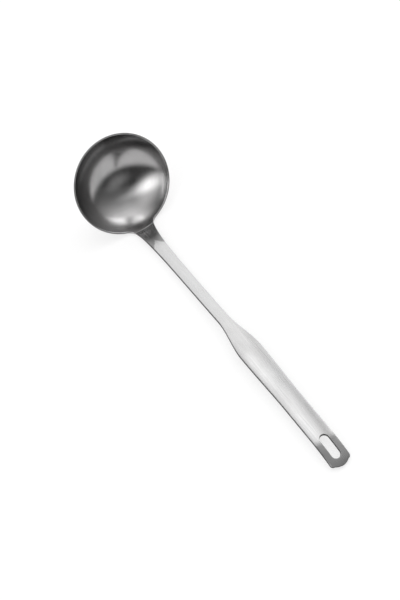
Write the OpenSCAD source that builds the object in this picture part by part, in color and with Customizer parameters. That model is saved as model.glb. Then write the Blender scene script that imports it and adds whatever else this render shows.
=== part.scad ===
// Soup ladle in satin stainless steel, in millimetres.
// A drawn round bowl with a low tongue, a pressed strip handle and the weld that joins them.
// It lies as on a table: on the round of the bowl and on the hooked tip, the floor at z = 0.

/* [Bowl] */
// Outer diameter of the bowl at its rim
bowl_d = 90; // [70:1:110]
// Depth of the bowl, from the rim's plane to its outer bottom
bowl_depth = 27; // [22:1:36]
// Thickness of the bowl's drawn sheet
bowl_wall = 1.2; // [0.8:0.1:1.8]

/* [Neck] */
// Height of the tongue that stands above the rim, measured along the wall
tongue_height = 3.4; // [2.4:0.2:5]
// Radius of the fillets between the rim and the tongue
tongue_fillet = 7.5; // [6:0.5:12]
// Width of the tongue, and of the handle that is welded to it
neck_width = 19.2; // [15:0.1:24]
// Length of the ground weld between the tongue and the handle
weld_length = 2; // [1:0.5:4]
// Length over which the neck bends from the bowl's wall to the stem
neck_bend = 24; // [12:1:32]
// Distance in which the flare of the neck shrinks to about a third
neck_flare = 16.4; // [10:0.2:25]

/* [Handle] */
// Length of the handle's middle line, from the rim to the tip
handle_length = 289.6; // [270:0.2:320]
// Thickness of the handle's strip
handle_thick = 3; // [2:0.1:3.6]
// Width of the slender stem
stem_width = 10.2; // [8:0.05:14]
// Angle of the stem to the rim's plane, in degrees
stem_slope = 58.6; // [53:0.1:62]
// How far the stem curves up along its length, in degrees
stem_bow = 2.3; // [1:0.1:5]
// Distance from the rim to where the stem starts to widen into the grip
grip_start = 126; // [110:1:140]
// Length of the shoulder between the stem and the grip
shoulder_length = 41; // [30:1:50]
// Widest part of the grip, at the end of the shoulder
shoulder_width = 20.4; // [19:0.1:24]
// Length over which the grip narrows again behind the shoulder
settle_length = 62; // [40:1:70]
// Width of the grip from there to the tip
grip_width = 18.2; // [16:0.1:19]
// Angle of the grip to the rim's plane, in degrees
grip_slope = 56.1; // [52:0.1:60]
// Radius of the stem's slightly crowned upper face, across its width
stem_crown = 120; // [60:1:200]
// Radius of the grip's crowned upper face, across its width
grip_crown = 60; // [40:1:120]
// Rounding of the handle's long edges
edge_round = 0.5; // [0.2:0.1:0.9]

/* [Tip] */
// Length over which the tip hooks down
hook_length = 38; // [25:1:45]
// Turn of the hook, in degrees
hook_turn = 23; // [12:1:30]
// Height of the arch of the end edge
tip_arch = 2.2; // [1:0.1:4]
// Radius of the tip's two corners
tip_corner = 2.8; // [1.5:0.1:5]
// Length of the hang slot
slot_length = 22.4; // [15:0.2:28]
// Width of the hang slot
slot_width = 7.8; // [5:0.1:10]
// Distance from the tip to the near end of the slot
slot_from_tip = 6.8; // [5:0.2:9]

/* [Hidden] */
$fn = 96;
steel = "#b9bbbd";

// The bowl is part of a hollow ball. Its rim is a circle in the plane z = 0 while it is being made,
// with x towards the handle.
rim_r = bowl_d / 2;
ball_r = (rim_r * rim_r + bowl_depth * bowl_depth) / (2 * bowl_depth);
ball_up = ball_r - bowl_depth;
wall_slope = 2 * atan(bowl_depth / rim_r);
hollow_r = ball_r - bowl_wall;
tongue_slope = wall_slope + tongue_height / hollow_r * 180 / PI;
rim_in = [0, ball_up] + hollow_r / ball_r * [rim_r, -ball_up];
beyond = 10; // how far a cutting shape reaches past the metal

// Stations along the handle, in millimetres from the rim
weld_end = tongue_height + weld_length;
bend_end = weld_end + neck_bend;
flare_end = bend_end + 2 * neck_flare;
shoulder_end = grip_start + shoulder_length;
turn_end = shoulder_end + settle_length / 4;
hook_start = handle_length - hook_length;
corner_start = handle_length - edge_round - tip_corner;
arch_start = handle_length - 5 * tip_arch;
grip_turn = grip_slope - stem_slope - stem_bow;

function share(v) = min(1, max(0, v));
function ease(v) = share(v) * share(v) * (3 - 2 * share(v));
function between(s, from, to) = (s - from) / (to - from);
function steps(from, to, count) = [for (i = [0 : count - 1]) from + (to - from) * i / count];

// Angle of the handle to the rim's plane at a distance s from the rim
function slope(s) =
    wall_slope
    + (tongue_slope - wall_slope) * share(s / tongue_height)
    + (stem_slope - tongue_slope) * ease(between(s, weld_end, bend_end))
    + stem_bow * share(between(s, bend_end, grip_start))
    + grip_turn * ease(between(s, grip_start, turn_end))
    - hook_turn * pow(share(between(s, hook_start, handle_length)), 2);
function along(s) = [cos(slope(s)), sin(slope(s))];
function upward(s) = [-sin(slope(s)), cos(slope(s))];

// Half the handle's width
function half_width(s) =
    stem_width / 2
    + (neck_width - stem_width) / 2 * exp(-(s - tongue_height) / neck_flare)
    + (shoulder_width - stem_width) / 2 * ease(between(s, grip_start, shoulder_end))
    - (shoulder_width - grip_width) / 2 * ease((s - shoulder_end) / settle_length);

// Thickness: the strip is thinned towards the neck, where it meets the bowl's sheet
function thickness(s) =
    bowl_wall + (handle_thick - bowl_wall) * ease(between(s, tongue_height, bend_end));

// Curvature across the width: a trough at the bowl, as in its wall, that turns into a crown along the
// neck, slight on the stem and stronger on the grip
function across(s) =
    let (crowned = ease(between(s, weld_end, bend_end)), gripped = ease(between(s, grip_start, shoulder_end)))
    (crowned - 1) / hollow_r + (crowned - gripped) / stem_crown + gripped / grip_crown;

// The middle line of the upper face, followed in short steps
step = 0.5;
last_step = ceil((handle_length + step) / step);
line = [for (i = 0, p = rim_in; i <= last_step; p = p + step * along((i + 0.5) * step), i = i + 1) p];
function on_line(s) =
    let (i = floor(s / step), part = s / step - i)
    line[i] * (1 - part) + line[i + 1] * part;

// One ring of the handle's skin: its station, its half width, how far it is drawn in at its edges, and
// how far back its sides lie behind its middle
across_steps = 9;
corner_steps = 3;
least_round = 0.05;
function corner(cy, cz, r, from) =
    [for (i = [0 : corner_steps])
        let (t = from - 90 * i / corner_steps) [cy + r * cos(t), cz + r * sin(t)]];
function outline(half, thick, inset) =
    let (r = max(least_round, min(edge_round, 0.4 * thick) - inset), y = half - inset - r)
    concat(
        [for (i = [0 : across_steps - 1]) [y * (2 * i / across_steps - 1), -inset]],
        corner(y, -inset - r, r, 90),
        corner(y, -thick + inset + r, r, 0),
        [for (i = [1 : across_steps - 1]) [y * (1 - 2 * i / across_steps), -thick + inset]],
        corner(-y, -thick + inset + r, r, -90),
        [for (i = [0 : corner_steps - 1])
            let (t = 180 - 90 * i / corner_steps) [-y + r * cos(t), -inset - r + r * sin(t)]]
    );
function ring(s, half, inset = 0, back = 0) =
    let (mid = on_line(s), a = along(s), u = upward(s), bend = across(s))
    [for (q = outline(half, thickness(s), inset))
        let (
            high = q[1] - bend * q[0] * q[0] / 2,
            late = back * pow(q[0] / half, 2),
            p = mid + u * high - a * late
        )
        [p[0], q[0], p[1]]];
ring_size = 2 * across_steps + 4 * corner_steps + 2;
lower_left = ring_size - 2 * corner_steps - 1;
lower_right = across_steps + 2 * corner_steps + 1;

module loft(rings) {
    n = ring_size;
    last = (len(rings) - 1) * n;
    sides = [for (k = [0 : len(rings) - 2], i = [0 : n - 1])
        let (a = k * n + i, b = k * n + (i + 1) % n)
        each [[a, b, b + n], [a, b + n, a + n]]];
    right_end = [for (i = [across_steps + 1 : lower_right - 1]) [across_steps, i, i + 1]];
    left_end = [for (i = [lower_left + 1 : n - 1]) [lower_left, i, (i + 1) % n]];
    middle = [for (i = [0 : across_steps - 1])
        let (under = lower_left - i)
        each [[i, under - 1, under], [i, i + 1, under - 1]]];
    cap = concat(right_end, left_end, middle);
    polyhedron(
        points = [for (r = rings) each r],
        faces = concat(sides, [for (f = cap) [f[2], f[1], f[0]]], [for (f = cap) f + [last, last, last]])
    );
}

// Stations: close together where the handle bends or changes width, wide apart where it runs straight
plain_stations = concat(
    steps(weld_end, bend_end, 12),
    steps(bend_end, flare_end, 11),
    steps(flare_end, grip_start, 9),
    steps(grip_start, shoulder_end, 18),
    steps(shoulder_end, hook_start, 14),
    steps(hook_start, corner_start, 22)
);
function arch(s) = tip_arch * ease(between(s, arch_start, handle_length));
body_rings = [for (s = plain_stations) ring(s, half_width(s), 0, arch(s))];
corner_rings = [for (t = [0 : 15 : 90])
    let (s = corner_start + tip_corner * sin(t))
    ring(s, half_width(s) - tip_corner * (1 - cos(t)), 0, arch(s))];
end_rings = [for (t = [30 : 30 : 90])
    let (s = handle_length - edge_round * (1 - sin(t)))
    ring(s, half_width(s) - tip_corner, edge_round * (1 - cos(t)), arch(s))];
handle_rings = concat(body_rings, corner_rings, end_rings);

// Where the ladle lies: the floor touches the ball of the bowl and the lowest point of the hooked tip
tip_points = [for (r = handle_rings, p = r) if (p[0] > line[ceil(hook_start / step)][0]) [p[0], p[2]]];
function tilt_on(p) = let (v = p - [0, ball_up]) atan2(v[1], v[0]) + asin(ball_r / norm(v));
rest_tilt = min([for (p = tip_points) tilt_on(p)]);
floor_down = ball_r - ball_up * cos(rest_tilt);
front_x = ball_up * sin(rest_tilt) - ball_r;
tip_x = max([for (p = tip_points) p * [cos(rest_tilt), sin(rest_tilt)]]);

module lay() {
    translate([-(front_x + tip_x) / 2, 0, floor_down]) rotate([0, rest_tilt, 0]) children();
}

// Half section of the hollow ball that the bowl is trimmed from
module ball_section() {
    intersection() {
        translate([0, ball_up]) difference() {
            circle(ball_r);
            circle(hollow_r);
        }
        translate([0, -2 * ball_r]) square(4 * ball_r);
    }
}

// Front view of the tongue: it stands on the rim with a concave fillet at each side
tongue_top = on_line(tongue_height);
corner_z = ball_up - (ball_up - tongue_top[1]) * sqrt(1 - pow(neck_width / 2 / hollow_r, 2));
fillet_y = neck_width / 2 + sqrt(pow(tongue_fillet, 2) - pow(tongue_fillet - corner_z, 2));
module tongue_face() {
    difference() {
        translate([-fillet_y, -bowl_wall]) square([2 * fillet_y, bowl_wall + tongue_top[1] + beyond]);
        for (side = [-1, 1])
            translate([side * fillet_y, tongue_fillet]) circle(tongue_fillet);
        for (side = [0, 1])
            mirror([side, 0])
                translate([neck_width / 2, tongue_fillet]) square([fillet_y, tongue_top[1] + beyond]);
    }
}

// Everything that trimming leaves of the sheet: all of it below the rim, and the tongue above
module kept_by_trimming() {
    translate([-ball_r, -ball_r, -2 * ball_r]) cube([2 * ball_r, 2 * ball_r, 2 * ball_r]);
    rotate([90, 0, 90]) linear_extrude(2 * ball_r) tongue_face();
}

module bowl() {
    color(steel) lay() difference() {
        intersection() {
            rotate_extrude() ball_section();
            kept_by_trimming();
        }
        translate([tongue_top[0], 0, tongue_top[1]]) rotate([0, -tongue_slope, 0])
            translate([0, -rim_r, -rim_r]) cube([4 * beyond, 2 * rim_r, 2 * rim_r]);
    }
}

// The weld is ground flush with both faces of the sheet and the strip that it joins
module neck_weld() {
    color(steel) lay() loft([for (i = [0 : 3])
        let (s = tongue_height + weld_length * i / 3)
        ring(s, half_width(s))]);
}

slot_far = handle_length - slot_from_tip - slot_length + slot_width / 2;
slot_near = handle_length - slot_from_tip - slot_width / 2;
module slot_cut() {
    a = on_line(slot_far);
    b = on_line(slot_near);
    run = norm(b - a);
    lean = atan2(b[1] - a[1], b[0] - a[0]);
    r = slot_width / 2;
    deep = 3 * handle_thick;
    translate([a[0], 0, a[1]]) rotate([0, -lean, 0]) {
        for (x = [0, run]) translate([x, 0, -deep]) cylinder(h = 2 * deep, r = r);
        translate([0, -r, -deep]) cube([run, slot_width, 2 * deep]);
    }
}

module handle() {
    color(steel) lay() difference() {
        loft(handle_rings);
        slot_cut();
    }
}

bowl();
neck_weld();
handle();
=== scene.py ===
import math

import bmesh
import bpy
import numpy as np
from mathutils import Matrix, Vector


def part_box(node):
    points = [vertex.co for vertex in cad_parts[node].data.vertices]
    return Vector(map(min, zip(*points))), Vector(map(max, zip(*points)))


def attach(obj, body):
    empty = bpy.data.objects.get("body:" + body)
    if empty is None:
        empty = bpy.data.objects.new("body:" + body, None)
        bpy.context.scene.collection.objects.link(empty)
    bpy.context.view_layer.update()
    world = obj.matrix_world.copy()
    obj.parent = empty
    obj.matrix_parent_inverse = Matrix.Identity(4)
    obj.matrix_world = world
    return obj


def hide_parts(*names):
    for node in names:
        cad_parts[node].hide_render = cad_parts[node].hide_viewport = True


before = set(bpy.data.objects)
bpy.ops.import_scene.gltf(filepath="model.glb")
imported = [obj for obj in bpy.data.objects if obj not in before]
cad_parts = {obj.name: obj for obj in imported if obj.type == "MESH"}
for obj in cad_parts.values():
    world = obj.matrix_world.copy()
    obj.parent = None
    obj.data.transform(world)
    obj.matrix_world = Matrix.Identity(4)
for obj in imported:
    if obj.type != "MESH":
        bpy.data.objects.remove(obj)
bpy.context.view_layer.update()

# Sizes of the ladle, in millimetres and degrees, with the names and values of part.scad
MM = 0.001
BOWL_D, BOWL_DEPTH, BOWL_WALL = 90.0, 27.0, 1.2
TONGUE_HEIGHT, TONGUE_FILLET = 3.4, 7.5
NECK_WIDTH, WELD_LENGTH, NECK_BEND, NECK_FLARE = 19.2, 2.0, 24.0, 16.4
HANDLE_LENGTH, HANDLE_THICK = 289.6, 3.0
STEM_WIDTH, STEM_SLOPE, STEM_BOW = 10.2, 58.6, 2.3
GRIP_START, SHOULDER_LENGTH, SHOULDER_WIDTH = 126.0, 41.0, 20.4
SETTLE_LENGTH, GRIP_WIDTH, GRIP_SLOPE = 62.0, 18.2, 56.1
STEM_CROWN, GRIP_CROWN, EDGE_ROUND = 120.0, 60.0, 0.5
HOOK_LENGTH, HOOK_TURN = 38.0, 23.0
TIP_ARCH, TIP_CORNER = 2.2, 2.8
SLOT_LENGTH, SLOT_WIDTH, SLOT_FROM_TIP = 22.4, 7.8, 6.8
# Tilt of the rim to the table, which part.scad works out from where the ball and the tip touch it
REST_TILT = 57.2189
# The share of its thickness that the rounding of the strip's edge takes at most
MOST_ROUND = 0.4
# Roundings of the edges that are square in part.scad
RIM_ROUND, SLOT_ROUND = 0.45, 0.25

# What follows from them, as in part.scad
RIM_R = BOWL_D / 2
BALL_R = (RIM_R ** 2 + BOWL_DEPTH ** 2) / (2 * BOWL_DEPTH)
HOLLOW_R = BALL_R - BOWL_WALL
BALL_UP = BALL_R - BOWL_DEPTH
WALL_SLOPE = 2 * math.degrees(math.atan(BOWL_DEPTH / RIM_R))
TONGUE_SLOPE = WALL_SLOPE + math.degrees(TONGUE_HEIGHT / HOLLOW_R)
WELD_END = TONGUE_HEIGHT + WELD_LENGTH
BEND_END = WELD_END + NECK_BEND
SHOULDER_END = GRIP_START + SHOULDER_LENGTH
TURN_END = SHOULDER_END + SETTLE_LENGTH / 4
HOOK_START = HANDLE_LENGTH - HOOK_LENGTH
CORNER_START = HANDLE_LENGTH - EDGE_ROUND - TIP_CORNER
ARCH_START = HANDLE_LENGTH - 5 * TIP_ARCH
GRIP_TURN = GRIP_SLOPE - STEM_SLOPE - STEM_BOW

# How fine the meshes are: steps across the strip, round the rim and from the rim to the bowl's middle
COLUMNS, RIM_STEPS, POLE_RINGS = 20, 220, 56
FILLET_POINTS, WELD_RINGS, SLOT_RINGS = 15, 5, 7
# Points along the handle's outline: their distance up to the end of the neck, on the shoulder and on the
# long stretches, and their number in the hook, in a corner of the tip and along half its end
NECK_END, NECK_STEP, SHOULDER_STEP, LONG_STEP = 40.0, 1.0, 1.5, 2.0
HOOK_POINTS, TIP_POINTS = 32, 9
# Angles over a rounded edge, from the face to the side
ARC = np.linspace(0, math.pi / 2, 7)
# How far each point over two such edges faces sideways: 0 on the faces, 1 on the wall between them
SIDEWAYS = np.concatenate([np.sin(ARC), np.sin(ARC)[::-1]])


def ease(v):
    """Smooth rise from 0 to 1."""
    v = np.clip(v, 0, 1)
    return v * v * (3 - 2 * v)


def between(s, a, b):
    """Share of the way from a to b."""
    return (s - a) / (b - a)


def slope(s):
    """Angle of the handle to the rim's plane at a distance s from the rim."""
    return (WALL_SLOPE
            + (TONGUE_SLOPE - WALL_SLOPE) * np.clip(s / TONGUE_HEIGHT, 0, 1)
            + (STEM_SLOPE - TONGUE_SLOPE) * ease(between(s, WELD_END, BEND_END))
            + STEM_BOW * np.clip(between(s, BEND_END, GRIP_START), 0, 1)
            + GRIP_TURN * ease(between(s, GRIP_START, TURN_END))
            - HOOK_TURN * np.clip(between(s, HOOK_START, HANDLE_LENGTH), 0, 1) ** 2)


def half_width(s):
    """Half the handle's width."""
    return (STEM_WIDTH / 2
            + (NECK_WIDTH - STEM_WIDTH) / 2 * np.exp(-(s - TONGUE_HEIGHT) / NECK_FLARE)
            + (SHOULDER_WIDTH - STEM_WIDTH) / 2 * ease(between(s, GRIP_START, SHOULDER_END))
            - (SHOULDER_WIDTH - GRIP_WIDTH) / 2 * ease((s - SHOULDER_END) / SETTLE_LENGTH))


def thickness(s):
    """Thickness of the strip."""
    return BOWL_WALL + (HANDLE_THICK - BOWL_WALL) * ease(between(s, TONGUE_HEIGHT, BEND_END))


def across(s):
    """Curvature across the width: a trough at the bowl, a crown from the stem on."""
    crowned = ease(between(s, WELD_END, BEND_END))
    gripped = ease(between(s, GRIP_START, SHOULDER_END))
    return (crowned - 1) / HOLLOW_R + (crowned - gripped) / STEM_CROWN + gripped / GRIP_CROWN


def arch(s):
    """How far the arched end edge draws the outline back."""
    return TIP_ARCH * ease(between(s, ARCH_START, HANDLE_LENGTH))


def edge_radius(s):
    """Rounding of the strip's edges, less where it is thin."""
    return np.minimum(EDGE_ROUND, MOST_ROUND * thickness(s))


# The middle line of the handle's upper face, in the ladle's plane of symmetry, followed in short steps
STEP = 0.1
MIDWAY = np.arange(0, HANDLE_LENGTH + 2 * STEP, STEP) + STEP / 2
HEADING = np.radians(slope(MIDWAY))
LINE_S = np.concatenate([[0], np.arange(1, len(MIDWAY) + 1) * STEP])
LINE_X = np.concatenate([[0], np.cumsum(np.cos(HEADING)) * STEP]) + HOLLOW_R / BALL_R * RIM_R
LINE_Z = np.concatenate([[0], np.cumsum(np.sin(HEADING)) * STEP]) + BALL_UP * (1 - HOLLOW_R / BALL_R)


def handle_point(s, q, deep):
    """Point of the handle at station s, q off its middle and deep below its upper face."""
    s, q, deep = np.broadcast_arrays(np.asarray(s, float), np.asarray(q, float), np.asarray(deep, float))
    a = np.radians(slope(s))
    high = -deep - across(s) * q * q / 2
    x = np.interp(s, LINE_S, LINE_X) - np.sin(a) * high
    z = np.interp(s, LINE_S, LINE_Z) + np.cos(a) * high
    return np.stack([x, q, z], -1)


BALL_CENTRE = np.array([0, 0, BALL_UP])
# From the ball's centre towards the middle of the tongue's end
TONGUE_WAY = (handle_point(TONGUE_HEIGHT, 0, 0) - BALL_CENTRE) / HOLLOW_R

# The ladle is built with its rim level and then laid down
TILT = math.radians(REST_TILT)
TILT_COS, TILT_SIN = math.cos(TILT), math.sin(TILT)
LAY_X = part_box("bowl")[0].x / MM - (BALL_UP * TILT_SIN - BALL_R)
LAY_Z = BALL_R - BALL_UP * TILT_COS


def lay(p):
    """From the frame the ladle is built in, in millimetres, to where it lies, in metres."""
    x, y, z = p[..., 0], p[..., 1], p[..., 2]
    return np.stack([TILT_COS * x + TILT_SIN * z + LAY_X, y, -TILT_SIN * x + TILT_COS * z + LAY_Z], -1) * MM


def built(p):
    """Back from where the ladle lies, in metres, to the frame it is built in, in millimetres."""
    p = p / MM - [LAY_X, 0, LAY_Z]
    x, y, z = p[:, 0], p[:, 1], p[:, 2]
    return np.stack([TILT_COS * x - TILT_SIN * z, y, TILT_SIN * x + TILT_COS * z], -1)


# Directions of the grain. The bowl's changes slowly round its axis, by so many millimetres for a radian
TURN_STRETCH = 30.0
# Least distance from that axis, in millimetres, so that nothing is divided by 0 at the pole
NO_RADIUS = 1e-6
# The points look up their nearest station in this many parts, to save memory
LOOKUP_PARTS = 32


def nearest_station(p):
    """Index of the nearest point of the middle line."""
    return np.argmin((p[:, :1] - LINE_X) ** 2 + (p[:, 2:] - LINE_Z) ** 2, axis=1)


def strip_grain(p):
    """Millimetres along the strip, across it and through it, for points as the ladle lies."""
    p = built(p)
    near = np.concatenate([nearest_station(some) for some in np.array_split(p, LOOKUP_PARTS)])
    deep = np.hypot(p[:, 0] - LINE_X[near], p[:, 2] - LINE_Z[near])
    return np.stack([LINE_S[near], p[:, 1], deep], -1)


def turned_grain(p):
    """For the bowl: slow round its axis, in millimetres from its middle out to the rim."""
    p = built(p) - BALL_CENTRE
    out = np.hypot(p[:, 0], p[:, 1])
    from_pole = np.arctan2(out, -p[:, 2])
    turned = TURN_STRETCH * p / np.maximum(out, NO_RADIUS)[:, None]
    return np.stack([turned[:, 0], from_pole * HOLLOW_R, turned[:, 1]], -1)


# Meshes. Points this close, in metres, are one point, and an edge this short is none
SAME_POINT, NO_EDGE = 2e-6, 1e-7


class Skin:
    """Collects grids of points and faces, then welds them into one mesh."""

    def __init__(self):
        self.points, self.sides, self.faces, self.count = [], [], [], 0

    def add(self, points, side=0.0):
        """Adds points, with how far each of them faces sideways."""
        points = points.reshape(-1, 3)
        start = self.count
        self.points.append(points)
        self.sides.append(np.broadcast_to(np.asarray(side, float), len(points)))
        self.count += len(points)
        return start

    def face(self, corners, flip):
        self.faces.append(corners[::-1] if flip else corners)

    def grid(self, points, closed=False, flip=False, side=0.0):
        """Faces between points in the shape (rows, columns, 3)."""
        rows, columns = points.shape[:2]
        start = self.add(points, side)
        for here in range(start, start + (rows - 1) * columns, columns):
            after = here + columns
            for c in range(columns if closed else columns - 1):
                d = (c + 1) % columns
                self.face([here + c, here + d, after + d, after + c], flip)

    def fan(self, centre, ring, flip=False):
        """Triangles from a ring of points to its centre."""
        start = self.add(np.concatenate([[centre], ring]))
        for i in range(len(ring)):
            self.face([start, start + 1 + i, start + 1 + (i + 1) % len(ring)], flip)

    def build(self, name, material, node, grain):
        """The piece itself: one closed mesh, with the attributes that its material needs."""
        mesh = bpy.data.meshes.new(name)
        mesh.from_pydata(np.concatenate(self.points).tolist(), [], self.faces)
        mesh.attributes.new("side", "FLOAT", "POINT").data.foreach_set("value", np.concatenate(self.sides))
        self.weld(mesh)
        at = np.empty(3 * len(mesh.vertices))
        mesh.vertices.foreach_get("co", at)
        directions = mesh.attributes.new("grain", "FLOAT_VECTOR", "POINT")
        directions.data.foreach_set("vector", grain(at.reshape(-1, 3)).ravel())
        mesh.shade_smooth()
        mesh.materials.append(material)
        piece = bpy.data.objects.new(name, mesh)
        bpy.context.scene.collection.objects.link(piece)
        normals = piece.modifiers.new("even_normals", "WEIGHTED_NORMAL")
        normals.mode, normals.keep_sharp = "FACE_AREA", True
        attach(piece, "root")
        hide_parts(node)

    def weld(self, mesh):
        """Joins points that lie together, closes the ends at the weld and turns all faces outward."""
        bm = bmesh.new()
        bm.from_mesh(mesh)
        bmesh.ops.remove_doubles(bm, verts=bm.verts, dist=SAME_POINT)
        bmesh.ops.dissolve_degenerate(bm, edges=bm.edges, dist=NO_EDGE)
        bmesh.ops.holes_fill(bm, edges=[e for e in bm.edges if e.is_boundary], sides=0)
        bmesh.ops.recalc_face_normals(bm, faces=bm.faces)
        bm.to_mesh(mesh)
        bm.free()


def edge_profile(radius, thick):
    """(distance from the edge, depth) over a rounded edge, from the upper face round to the lower one."""
    top = [(radius * (1 - math.sin(a)), radius * (1 - math.cos(a))) for a in ARC]
    low = [(inset, thick - depth) for inset, depth in top[::-1]]
    return np.array(top + low)


# The handle
def half_outline():
    """Half the handle's outline in (station, offset): its side from the weld on, its corner, its end."""
    s = np.concatenate([
        np.arange(WELD_END, NECK_END, NECK_STEP), np.arange(NECK_END, GRIP_START, LONG_STEP),
        np.arange(GRIP_START, SHOULDER_END, SHOULDER_STEP), np.arange(SHOULDER_END, HOOK_START, LONG_STEP),
        np.linspace(HOOK_START, CORNER_START, HOOK_POINTS)])
    side = np.stack([s - arch(s), half_width(s)], -1)
    turn = np.linspace(0, math.pi / 2, TIP_POINTS)[1:]
    s = CORNER_START + (TIP_CORNER + EDGE_ROUND) * np.sin(turn)
    corner = np.stack([s - arch(s), half_width(s) - TIP_CORNER * (1 - np.cos(turn))], -1)
    share = np.linspace(1, 0, TIP_POINTS)[1:]
    end_half = half_width(HANDLE_LENGTH) - TIP_CORNER
    end = np.stack([HANDLE_LENGTH - TIP_ARCH * share ** 2, share * end_half], -1)
    return side, corner, end


def path_outward(path):
    """Unit vectors out of the handle along its outline, square to its sides where it meets the weld."""
    run = np.gradient(path, axis=0)
    run /= np.linalg.norm(run, axis=1, keepdims=True)
    outward = np.stack([-run[:, 1], run[:, 0]], -1)
    outward[0], outward[-1] = (0, 1), (0, -1)
    return outward


def add_edge(skin, path, into_metal, radius, thick, flip=False):
    """The rounded edges along a path in (station, offset), with the wall between them."""
    rings = []
    for p, way, r, t in zip(path, into_metal, radius, thick):
        profile = edge_profile(r, t)
        flat = p + way * profile[:, :1]
        rings.append(handle_point(flat[:, 0], flat[:, 1], profile[:, 1]))
    skin.grid(lay(np.array(rings)), flip=flip, side=np.tile(SIDEWAYS, len(rings)))


def add_faces(skin, flat, flip=False):
    """A grid of (station, offset) on the upper face, and again on the lower one."""
    s, q = flat[..., 0], flat[..., 1]
    skin.grid(lay(handle_point(s, q, 0)), flip=flip)
    skin.grid(lay(handle_point(s, q, thickness(s))), flip=not flip)


def slot_outline(side_points, tip_points):
    """The slot's outline in (station, offset), round from its end on the grip, and the way out of it."""
    radius = SLOT_WIDTH / 2
    on_grip = HANDLE_LENGTH - SLOT_FROM_TIP - SLOT_LENGTH + radius
    at_tip = HANDLE_LENGTH - SLOT_FROM_TIP - radius
    grip_turn = np.linspace(-math.pi / 2, -3 * math.pi / 2, COLUMNS + 1)[:-1]
    tip_turn = np.linspace(math.pi / 2, -math.pi / 2, tip_points + 2)[1:-1]
    run = np.linspace(on_grip, at_tip, side_points)
    middle = np.concatenate([np.full(COLUMNS, on_grip), run, np.full(tip_points, at_tip), run[::-1]])
    outward = np.concatenate([
        np.stack([np.cos(grip_turn), np.sin(grip_turn)], -1), np.tile([0.0, 1.0], (side_points, 1)),
        np.stack([np.cos(tip_turn), np.sin(tip_turn)], -1), np.tile([0.0, -1.0], (side_points, 1))])
    return np.stack([middle, np.zeros(len(middle))], -1) + radius * outward, outward


def make_handle(material):
    skin = Skin()
    side, corner, end = half_outline()
    half = np.concatenate([side, corner, end])
    path = np.concatenate([half, (half * [1, -1])[-2::-1]])
    outward = path_outward(path)
    radius = edge_radius(path[:, 0])
    add_edge(skin, path, -outward, radius, thickness(path[:, 0]))

    # the faces, across from one side to the other, up to where the hook starts
    inner = path - outward * radius[:, None]
    zone = int(np.argmin(np.abs(side[:, 0] - HOOK_START)))
    left, right = inner[:zone + 1, None], inner[::-1][:zone + 1, None]
    share = np.linspace(0, 1, COLUMNS + 1)[None, :, None]
    rows = left * (1 - share) + right * share
    add_faces(skin, rows)

    # the faces round the slot, from its edge out to the last row and to the edge of the hook
    outer = np.concatenate([rows[zone][::-1][:-1], inner[zone:len(path) - zone]])
    hole, hole_outward = slot_outline(len(side) - zone, 2 * (len(corner) + len(end)) - 1)
    lip = hole + hole_outward * SLOT_ROUND
    share = np.linspace(0, 1, SLOT_RINGS)[:, None, None]
    add_faces(skin, lip * (1 - share) + outer * share, flip=True)
    slot_round, slot_thick = np.full(len(hole), SLOT_ROUND), np.full(len(hole), HANDLE_THICK)
    add_edge(skin, hole, hole_outward, slot_round, slot_thick, flip=True)
    skin.build("ladle_handle", material, "handle", strip_grain)


# The weld
def strip_ring(s):
    """Cross section of the strip at a station: a closed loop of points."""
    r, thick, half = float(edge_radius(s)), float(thickness(s)), float(half_width(s))
    profile = edge_profile(r, thick)
    share = np.linspace(0, 1, COLUMNS + 1)[1:-1]
    y = half - r
    top = [(y * (2 * v - 1), 0.0) for v in share]
    right = [(half - inset, depth) for inset, depth in profile]
    low = [(y * (1 - 2 * v), thick) for v in share]
    left = [(-(half - inset), depth) for inset, depth in profile[::-1]]
    loop = np.array(top + right + low + left)
    return handle_point(s, loop[:, 0], loop[:, 1])


def make_weld(material):
    skin = Skin()
    stations = np.linspace(TONGUE_HEIGHT, WELD_END, WELD_RINGS)
    skin.grid(lay(np.array([strip_ring(s) for s in stations])), closed=True)
    skin.build("ladle_neck_weld", material, "neck_weld", strip_grain)


# The bowl
def tongue_end(y, radius):
    """Points of the plane in which the tongue is welded, y off its middle, at one radius of the ball."""
    turn = np.arcsin(y / radius)
    way = [np.cos(turn) * TONGUE_WAY[0], np.sin(turn), np.cos(turn) * TONGUE_WAY[2]]
    return BALL_CENTRE + radius * np.stack(way, -1)


def front_fillet():
    """The fillet between tongue and rim, seen from the front: the y where it meets the rim, its y and z."""
    y_end = NECK_WIDTH / 2
    z_end = BALL_UP + HOLLOW_R * math.cos(math.asin(y_end / HOLLOW_R)) * TONGUE_WAY[2]
    rim_y = y_end + math.sqrt(TONGUE_FILLET ** 2 - (TONGUE_FILLET - z_end) ** 2)
    first = math.asin((TONGUE_FILLET - z_end) / TONGUE_FILLET)
    turn = np.linspace(first, math.pi / 2, FILLET_POINTS)
    return rim_y, rim_y - TONGUE_FILLET * np.cos(turn), TONGUE_FILLET - TONGUE_FILLET * np.sin(turn)


def bowl_outline(radius):
    """Edge of the sheet at one radius, from one side of the tongue round the bowl to the other."""
    rim_y, y, z = front_fillet()
    fillet = np.stack([np.sqrt(radius ** 2 - (z - BALL_UP) ** 2 - y ** 2), y, z], -1)
    rim = math.sqrt(radius ** 2 - BALL_UP ** 2)
    first = math.asin(rim_y / rim)
    turn = np.linspace(first, 2 * math.pi - first, RIM_STEPS + 1)[1:-1]
    round_rim = np.stack([rim * np.cos(turn), rim * np.sin(turn), np.zeros(len(turn))], -1)
    loop = np.concatenate([fillet, round_rim, (fillet * [1, -1, 1])[::-1]])
    loop[0] = tongue_end(NECK_WIDTH / 2, radius)
    loop[-1] = loop[0] * [1, -1, 1]
    return loop


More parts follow.
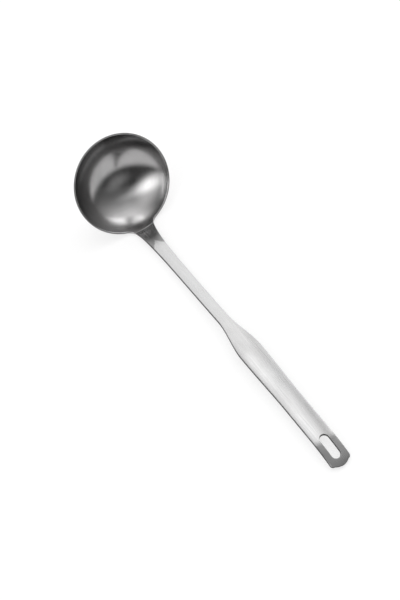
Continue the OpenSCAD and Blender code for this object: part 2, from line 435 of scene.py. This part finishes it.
def rim_ring(back, depth):
    """A ring along the sheet's edge, at a depth in the sheet and drawn back from its end."""
    radius = HOLLOW_R + depth
    loop = bowl_outline(radius)
    out = (loop - BALL_CENTRE) / radius
    run = np.gradient(loop, axis=0)
    run /= np.linalg.norm(run, axis=1, keepdims=True)
    inward = np.cross(run, out)
    inward /= np.linalg.norm(inward, axis=1, keepdims=True)
    inward[0], inward[-1] = (0, -1, 0), (0, 1, 0)
    way = loop + inward * back - BALL_CENTRE
    return BALL_CENTRE + way / np.linalg.norm(way, axis=1, keepdims=True) * radius


def add_ball_face(skin, edge, radius, flip):
    """One face of the bowl: rings along the ball from its edge to its pole."""
    share = np.linspace(0, 1, COLUMNS + 1)[1:-1]
    loop = np.concatenate([edge, tongue_end(np.interp(share, [0, 1], [edge[-1][1], edge[0][1]]), radius)])
    out = (loop - BALL_CENTRE) / radius
    pole = np.array([0, 0, -1.0])
    angle = np.arccos(np.clip(out @ pole, -1, 1))
    rings = []
    for v in np.arange(1, POLE_RINGS + 1) / POLE_RINGS:
        to_pole = np.sin((1 - v) * angle) / np.sin(angle)
        to_edge = np.sin(v * angle) / np.sin(angle)
        rings.append(BALL_CENTRE + radius * (to_pole[:, None] * pole + to_edge[:, None] * out))
    skin.grid(lay(np.array(rings)), closed=True, flip=flip)
    skin.fan(lay(BALL_CENTRE + radius * pole), lay(rings[0]), flip=not flip)


def make_bowl(material):
    skin = Skin()
    rings = np.array([rim_ring(inset, depth) for inset, depth in edge_profile(RIM_ROUND, BOWL_WALL)])
    skin.grid(lay(rings), side=np.repeat(SIDEWAYS, rings.shape[1]))
    add_ball_face(skin, rings[0], HOLLOW_R, flip=False)
    add_ball_face(skin, rings[-1], BALL_R, flip=True)
    skin.build("ladle_bowl", material, "bowl", turned_grain)


class Nodes:
    """Short ways to lay out the nodes of a material or of the world."""

    def __init__(self, tree):
        self.tree = tree
        tree.nodes.clear()

    def add(self, kind, **settings):
        node = self.tree.nodes.new(kind)
        for name, value in settings.items():
            setattr(node, name, value)
        return node

    def feed(self, socket, value):
        """Links an input to another node, or sets its value."""
        if isinstance(value, bpy.types.NodeSocket):
            self.tree.links.new(value, socket)
        else:
            socket.default_value = value

    def math(self, operation, a, b, clamp=False):
        node = self.add("ShaderNodeMath", operation=operation, use_clamp=clamp)
        self.feed(node.inputs[0], a)
        self.feed(node.inputs[1], b)
        return node.outputs[0]

    def plus(self, a, b, clamp=False):
        return self.math("ADD", a, b, clamp)

    def times(self, a, b):
        return self.math("MULTIPLY", a, b)

    def measure(self, operation, a, b=(0, 0, 0)):
        """A number from one or two vectors: their length, distance or dot product."""
        node = self.add("ShaderNodeVectorMath", operation=operation)
        self.feed(node.inputs[0], a)
        self.feed(node.inputs[1], b)
        return node.outputs["Value"]

    def noise(self, vector, scale, shift=(0, 0, 0), detail=2.0, rough=0.5, distortion=0.0):
        """Noise on a vector that is stretched and shifted first."""
        mapped = self.add("ShaderNodeMapping", vector_type="POINT")
        self.feed(mapped.inputs["Vector"], vector)
        self.feed(mapped.inputs["Scale"], scale)
        self.feed(mapped.inputs["Location"], shift)
        node = self.add("ShaderNodeTexNoise")
        self.feed(node.inputs["Vector"], mapped.outputs[0])
        self.feed(node.inputs["Scale"], 1.0)
        self.feed(node.inputs["Detail"], detail)
        self.feed(node.inputs["Roughness"], rough)
        self.feed(node.inputs["Distortion"], distortion)
        return node.outputs["Fac"]

    def remap(self, value, a, b, low=0.0, high=1.0, smooth=True):
        """From low to high as the value goes from a to b."""
        node = self.add("ShaderNodeMapRange", interpolation_type="SMOOTHSTEP" if smooth else "LINEAR")
        self.feed(node.inputs["Value"], value)
        for socket, v in zip(("From Min", "From Max", "To Min", "To Max"), (a, b, low, high)):
            node.inputs[socket].default_value = v
        return node.outputs[0]

    def blend(self, share, a, b):
        """Colour a turned into colour b by a share."""
        node = self.add("ShaderNodeMix", data_type="RGBA")
        self.feed(node.inputs[0], share)
        for socket, v in zip((node.inputs[6], node.inputs[7]), (a, b)):
            self.feed(socket, (*v, 1) if isinstance(v, tuple) else v)
        return node.outputs[2]

    def attribute(self, name, output):
        return self.add("ShaderNodeAttribute", attribute_name=name).outputs[output]

    def coordinates(self, output):
        return self.add("ShaderNodeTexCoord").outputs[output]

    def bump(self, height, distance):
        """A bump as deep as the distance, in metres."""
        node = self.add("ShaderNodeBump")
        self.feed(node.inputs["Strength"], 1.0)
        self.feed(node.inputs["Distance"], distance)
        self.feed(node.inputs["Height"], height)
        return node


def new_material(name):
    material = bpy.data.materials.new(name)
    material.use_nodes = True
    return material, Nodes(material.node_tree)


# Where the strip gets painted shade or a painted highlight, in millimetres from the rim, and the shares of
# the other tone there.
# Beyond the weld it is painted dark as shade, further along at its edges than in its middle, with a ragged
# border
NECK_SHADE_STARTS, NECK_SHADE_ENDS = (WELD_END + 3, WELD_END + 11), (WELD_END + 14.5, WELD_END + 17.5)
NECK_SHADE, EDGE_LEAD, RAGGED = (0.12, 0.80), 1.1, 2.0
# The stem gets a painted highlight, a little brighter than the grip
STEM_HIGHLIGHT_STARTS, STEM_HIGHLIGHT_ENDS = (WELD_END + 16, WELD_END + 28), (GRIP_START - 8, GRIP_START + 30)
STEM_HIGHLIGHT = (0.0, 0.26)
# The hook is painted dark as shade from its slot on, and less so towards the tip
HOOK_SHADE_STARTS = (HANDLE_LENGTH - 28, HANDLE_LENGTH - 21.5)
HOOK_SHADE_FADES = (HANDLE_LENGTH - 16, HANDLE_LENGTH - 4)
HOOK_SHADE = (0.88, 0.60)


def strip_tones(k, color, look, marks):
    """The strip's painted highlight on the stem, and its painted shade beside the weld and on the hook."""
    parts = k.add("ShaderNodeSeparateXYZ")
    k.feed(parts.inputs[0], marks["grain"])
    along, off_middle = parts.outputs["X"], k.math("ABSOLUTE", parts.outputs["Y"], 0.0)
    # Painted highlight on the stem's faces
    stem = k.remap(along, *STEM_HIGHLIGHT_STARTS, *STEM_HIGHLIGHT)
    stem = k.times(stem, k.remap(along, *STEM_HIGHLIGHT_ENDS, 1.0, 0.0))
    on_face = k.remap(marks["side"], 0.30, 0.55, 1.0, 0.0)
    color = k.blend(k.times(stem, on_face), color, look["bright"])
    border = k.noise(marks["grain"], (0.5, 0.9, 0.5), (3, 8, 1), detail=3.0)
    ragged = k.remap(border, 0.2, 0.8, -RAGGED, RAGGED, smooth=False)
    past = k.plus(k.math("SUBTRACT", along, k.times(off_middle, EDGE_LEAD)), ragged)
    # Painted shade on the neck beyond the weld
    neck = k.times(k.remap(past, *NECK_SHADE_ENDS, 1.0, 0.0), k.remap(along, *NECK_SHADE_STARTS, *NECK_SHADE))
    past = k.plus(along, k.times(ragged, 0.5))
    # Painted shade on the hook
    hook = k.times(k.remap(past, *HOOK_SHADE_STARTS), k.remap(past, *HOOK_SHADE_FADES, *HOOK_SHADE))
    return k.blend(k.math("MAXIMUM", neck, hook), color, look["ground"])


def steel_marks(k, look):
    """What tone, roughness and bumps share: the brushing, smudges of handling, worn edges that also carry a
    painted highlight, and cut walls that carry painted shade.
    """
    grain, side, spot = k.attribute("grain", "Vector"), k.attribute("side", "Fac"), k.coordinates("Object")

    def brushing(fineness, shift, detail, rough):
        return k.noise(grain, tuple(fineness * v for v in look["streak"]), shift, detail, rough)

    # Rounded edges: lightened for wear and as a painted highlight
    rubbed = k.times(k.remap(side, 0.05, 0.30), k.remap(side, 0.40, 0.62, 1.0, 0.0))
    patches = k.remap(k.noise(spot, (160, 160, 160), detail=3.0), 0.30, 0.62, 0.35, 1.0)
    return {
        "grain": grain, "side": side, "spot": spot,
        "streak": brushing(1.0, (0, 0, 0), 4.0, 0.62),
        "fine": brushing(4.5, (7, 3, 5), 2.0, 0.5),
        "hair": k.remap(brushing(0.55, (31, 17, 23), 5.0, 0.7), 0.665, 0.70),
        "smudge": k.noise(spot, (34, 34, 34), detail=4.0, rough=0.55, distortion=0.6),
        "cloud": k.noise(spot, (11, 13, 11), (4, 9, 2), detail=2.0),
        "worn_and_highlit": k.times(rubbed, patches),
        # Side walls: rougher, and darker as painted shade on the handle and weld
        "wall": k.remap(side, 0.50, 0.80)}


def steel_color(k, look, marks):
    """Warm and cool clouds, then streaks, smudges and hairlines, then the worn edges with their painted
    highlight, the strip's painted light and shade, and the cut walls with their painted shade.
    """
    color = k.blend(k.remap(marks["cloud"], 0.35, 0.65), look["cool"], look["warm"])
    for share, strength, tone in (
            (k.remap(marks["streak"], 0.30, 0.72), look["streak_tone"], "deep"),
            (k.remap(marks["smudge"], 0.52, 0.72), 0.35, "deep"),
            (marks["hair"], 0.15, "bright"),
            (marks["worn_and_highlit"], look["wear_and_highlight"], "bright")):
        color = k.blend(k.times(share, strength), color, look[tone])
    if look["ground"]:
        color = strip_tones(k, color, look, marks)
    # The cut walls take painted shade
    return k.blend(k.times(marks["wall"], 0.95), color, look["wall"])


def steel_roughness(k, look, marks):
    """Smudges and brushing vary it, worn edges are smoother and cut walls rougher."""
    rough = k.remap(marks["smudge"], 0.30, 0.72, look["rough"] - 0.02, look["rough"] + 0.035)
    rough = k.plus(rough, k.remap(marks["streak"], 0.28, 0.72, -0.03, 0.03))
    rough = k.plus(rough, k.remap(marks["fine"], 0.25, 0.75, -0.015, 0.015))
    rough = k.plus(rough, k.times(marks["worn_and_highlit"], -0.05))
    return k.plus(rough, k.times(marks["wall"], look["wall_rough"]), clamp=True)


def steel_normal(k, look, marks):
    """The brushing's fine bumps on top of slight waves."""
    height = k.plus(k.times(marks["streak"], 0.7), k.times(marks["fine"], 0.3))
    height = k.plus(height, k.times(marks["hair"], 0.25))
    brushed = k.bump(height, look["depth"])
    wavy = k.bump(k.noise(marks["spot"], (70, 70, 70), (1, 6, 8), detail=1.0), look["wave"])
    k.feed(wavy.inputs["Normal"], brushed.outputs[0])
    return wavy.outputs[0]


def steel(name, look):
    """Satin stainless steel."""
    material, k = new_material(name)
    marks = steel_marks(k, look)
    shader = k.add("ShaderNodeBsdfPrincipled")
    k.feed(shader.inputs["Metallic"], 1.0)
    k.feed(shader.inputs["Base Color"], steel_color(k, look, marks))
    k.feed(shader.inputs["Roughness"], steel_roughness(k, look, marks))
    k.feed(shader.inputs["Normal"], steel_normal(k, look, marks))
    k.feed(k.add("ShaderNodeOutputMaterial").inputs["Surface"], shader.outputs[0])
    return material


# The three finishes. First their tones: cool and warm clouds, deep streaks, bright wear with a painted
# highlight, cut walls that take painted shade on the handle and weld, and places of painted shade. Then how
# much the streaks and the wear with its painted highlight show, how rough faces and walls are, how close
# the streaks lie for each millimetre of the grain, and how deep the brushing and the waves are in metres
# Painted shade: the bowl's steel is darker than the handle's, so the floor it reflects looks dimmer; the
# weld's is darker still
BOWL_LOOK = {
    "cool": (0.385, 0.386, 0.388), "warm": (0.392, 0.386, 0.386), "deep": (0.345, 0.343, 0.343),
    "bright": (0.66, 0.66, 0.66), "wall": (0.40, 0.40, 0.40), "ground": None,
    "streak_tone": 0.35, "wear_and_highlight": 0.8, "rough": 0.195, "wall_rough": 0.05,
    "streak": (0.030, 1.1, 0.030), "depth": 6e-6, "wave": 1.5e-5}
HANDLE_LOOK = {
    "cool": (0.425, 0.426, 0.428), "warm": (0.431, 0.427, 0.4265), "deep": (0.370, 0.368, 0.367),
    "bright": (0.66, 0.66, 0.66), "wall": (0.07, 0.07, 0.07), "ground": (0.16, 0.16, 0.16),
    "streak_tone": 0.35, "wear_and_highlight": 0.25, "rough": 0.235, "wall_rough": 0.40,
    "streak": (0.035, 1.25, 1.25), "depth": 1.2e-5, "wave": 1.5e-5}
WELD_LOOK = {
    "cool": (0.335, 0.336, 0.338), "warm": (0.340, 0.336, 0.335), "deep": (0.290, 0.289, 0.288),
    "bright": (0.62, 0.62, 0.62), "wall": (0.07, 0.07, 0.07), "ground": (0.16, 0.16, 0.16),
    "streak_tone": 0.2, "wear_and_highlight": 0.25, "rough": 0.24, "wall_rough": 0.40,
    "streak": (1.6, 0.12, 0.5), "depth": 1.2e-5, "wave": 1.5e-5}


# The camera, as fitted to the photograph: its place in metres, its directions, its lens in millimetres
CAMERA_PLACE = (0.460777, -0.239610, 0.810344)
CAMERA_RIGHT, CAMERA_DOWN = (0.557846, 0.824935, -0.091046), (0.665211, -0.510021, -0.545319)
SENSOR_WIDTH, LENS = 36, 68.6758
CLIP_START, CLIP_END = 0.05, 200


def make_camera():
    camera = bpy.data.objects.new("camera", bpy.data.cameras.new("camera"))
    bpy.context.scene.collection.objects.link(camera)
    camera.data.sensor_width, camera.data.lens = SENSOR_WIDTH, LENS
    camera.data.clip_start, camera.data.clip_end = CLIP_START, CLIP_END
    right, down = Vector(CAMERA_RIGHT).normalized(), Vector(CAMERA_DOWN).normalized()
    ahead = right.cross(down).normalized()
    turn = Matrix((right, -down, -ahead)).transposed()
    camera.matrix_world = Matrix.Translation(CAMERA_PLACE) @ turn.to_4x4()
    bpy.context.scene.camera = camera


# The floor is a flat sheet whose far border turns up a little, so that no edge of it shows.
# Distance from the middle and height, in metres
SWEEP = [(12, 0.0), (14, 0.05), (16, 0.2), (18, 0.45), (20, 0.8), (22, 1.2)]
SWEEP_STEPS = 96
# The pool of light on it: its middle, where it starts and ends to fade, and the share that is left beyond
POOL_MIDDLE, POOL_REACH, FAR_SHARE = (-0.08, 0.03, 0), (0.40, 1.6), 0.50
PAPER_WHITE, PAPER_GLOW = 0.36, 0.66


def floor_paper():
    """Pale paper, grey further off. It glows for the camera and in reflections, but lights nothing."""
    material, k = new_material("floor_paper")
    pool = k.remap(k.measure("DISTANCE", k.coordinates("Object"), POOL_MIDDLE), *POOL_REACH, 1.0, FAR_SHARE)
    diffuse = k.add("ShaderNodeBsdfDiffuse")
    k.feed(diffuse.inputs["Color"], k.times(pool, PAPER_WHITE))
    path = k.add("ShaderNodeLightPath")
    seen = k.math("MAXIMUM", path.outputs["Is Camera Ray"], path.outputs["Is Glossy Ray"])
    seen = k.math("MAXIMUM", seen, path.outputs["Is Transmission Ray"])
    glow = k.add("ShaderNodeEmission")
    k.feed(glow.inputs["Strength"], k.times(k.times(seen, pool), PAPER_GLOW))
    both = k.add("ShaderNodeAddShader")
    k.feed(both.inputs[0], diffuse.outputs[0])
    k.feed(both.inputs[1], glow.outputs[0])
    k.feed(k.add("ShaderNodeOutputMaterial").inputs["Surface"], both.outputs[0])
    return material


def make_floor(material):
    turns = [2 * math.pi * i / SWEEP_STEPS for i in range(SWEEP_STEPS)]
    points = [(r * math.cos(a), r * math.sin(a), z) for r, z in SWEEP for a in turns]
    faces = [tuple(range(SWEEP_STEPS))]
    for start in range(0, (len(SWEEP) - 1) * SWEEP_STEPS, SWEEP_STEPS):
        for i in range(SWEEP_STEPS):
            a, b = start + i, start + (i + 1) % SWEEP_STEPS
            faces.append((a, a + SWEEP_STEPS, b + SWEEP_STEPS, b))
    mesh = bpy.data.meshes.new("floor")
    mesh.from_pydata(points, [], faces)
    mesh.materials.append(material)
    floor = bpy.data.objects.new("floor", mesh)
    bpy.context.scene.collection.objects.link(floor)


# The room round the ladle: how high the direction points, from 0 level or below to 1 straight up, and how
# bright the room is there. Nowhere does it get darker than the least
ROOM = [(0, 0.05), (0.15, 0.05), (0.35, 0.07), (0.6, 0.04), (0.85, 0.065), (1.0, 0.40)]
LEAST = 0.005
# Soft oval lights in the room: how bright they are, their direction, half their width and height and
# their roll, all in degrees, and how soft their edge is
LIGHTS = [
    # a window on the right, and a brighter slanting one just below it
    dict(bright=0.90, azimuth=-75, elevation=47, wide=26, high=19, roll=90, soft=0.65),
    dict(bright=2.20, azimuth=-69, elevation=36, wide=30, high=10, roll=50, soft=0.85),
    # a narrow slanting lamp low on the right
    dict(bright=4.00, azimuth=-96, elevation=9, wide=5, high=26, roll=30, soft=0.65),
    # an upright lamp on the left
    dict(bright=2.10, azimuth=104, elevation=26, wide=9, high=25, roll=-6, soft=0.55),
    # the broad soft light behind the bowl, its brighter heart, and the dark gap beside that
    dict(bright=1.72, azimuth=141, elevation=43, wide=44, high=40, roll=-50, soft=0.67),
    dict(bright=1.45, azimuth=152, elevation=60, wide=10, high=13, roll=-20, soft=0.35),
    dict(bright=-1.20, azimuth=148, elevation=56, wide=11, high=19, roll=60, soft=0.30),
    # two dim glows beyond the tip, low and high
    dict(bright=0.35, azimuth=7, elevation=24, wide=21, high=10, roll=0, soft=0.75),
    dict(bright=0.35, azimuth=1, elevation=60, wide=22, high=6, roll=-8, soft=0.65),
    # a dim light on the far side, which the photograph's camera doesn't see in the steel
    dict(bright=0.70, azimuth=222, elevation=22, wide=36, high=20, roll=0, soft=0.60)]


def soft_light(k, direction, bright, azimuth, elevation, wide, high, roll, soft):
    """How bright one soft oval light far away is in a direction."""
    a, b, c = math.radians(azimuth), math.radians(elevation), math.radians(roll)
    ahead = Vector((math.cos(a) * math.cos(b), math.sin(a) * math.cos(b), math.sin(b)))
    level = Vector((-math.sin(a), math.cos(a), 0))
    up = ahead.cross(level)
    u = (level * math.cos(c) + up * math.sin(c)) / math.sin(math.radians(wide))
    v = (up * math.cos(c) - level * math.sin(c)) / math.sin(math.radians(high))
    both = k.add("ShaderNodeCombineXYZ")
    k.feed(both.inputs[0], k.measure("DOT_PRODUCT", direction, u))
    k.feed(both.inputs[1], k.measure("DOT_PRODUCT", direction, v))
    oval = k.remap(k.measure("LENGTH", both.outputs[0]), 1 - soft, 1 + soft, bright, 0)
    in_front = k.math("GREATER_THAN", k.measure("DOT_PRODUCT", direction, ahead), 0)
    return k.times(oval, in_front)


def make_world():
    world = bpy.data.worlds.new("studio")
    bpy.context.scene.world = world
    world.use_nodes = True
    k = Nodes(world.node_tree)
    direction = k.coordinates("Generated")
    split = k.add("ShaderNodeSeparateXYZ")
    k.feed(split.inputs[0], direction)
    ramp = k.add("ShaderNodeValToRGB")
    k.feed(ramp.inputs[0], split.outputs["Z"])
    stops = ramp.color_ramp.elements
    while len(stops) < len(ROOM):
        stops.new(0.5)
    for stop, (position, bright) in zip(stops, ROOM):
        stop.position = position
        stop.color = (bright, bright, bright, 1)
    total = ramp.outputs["Color"]
    for light in LIGHTS:
        total = k.plus(total, soft_light(k, direction, **light))
    back = k.add("ShaderNodeBackground")
    k.feed(back.inputs["Color"], k.math("MAXIMUM", total, LEAST))
    k.feed(back.inputs["Strength"], 1)
    k.feed(k.add("ShaderNodeOutputWorld").inputs["Surface"], back.outputs[0])


make_bowl(steel("bowl_steel", BOWL_LOOK))
make_weld(steel("weld_steel", WELD_LOOK))
make_handle(steel("handle_steel", HANDLE_LOOK))
make_camera()
make_floor(floor_paper())
make_world()
bpy.context.scene.view_settings.view_transform = "Standard"
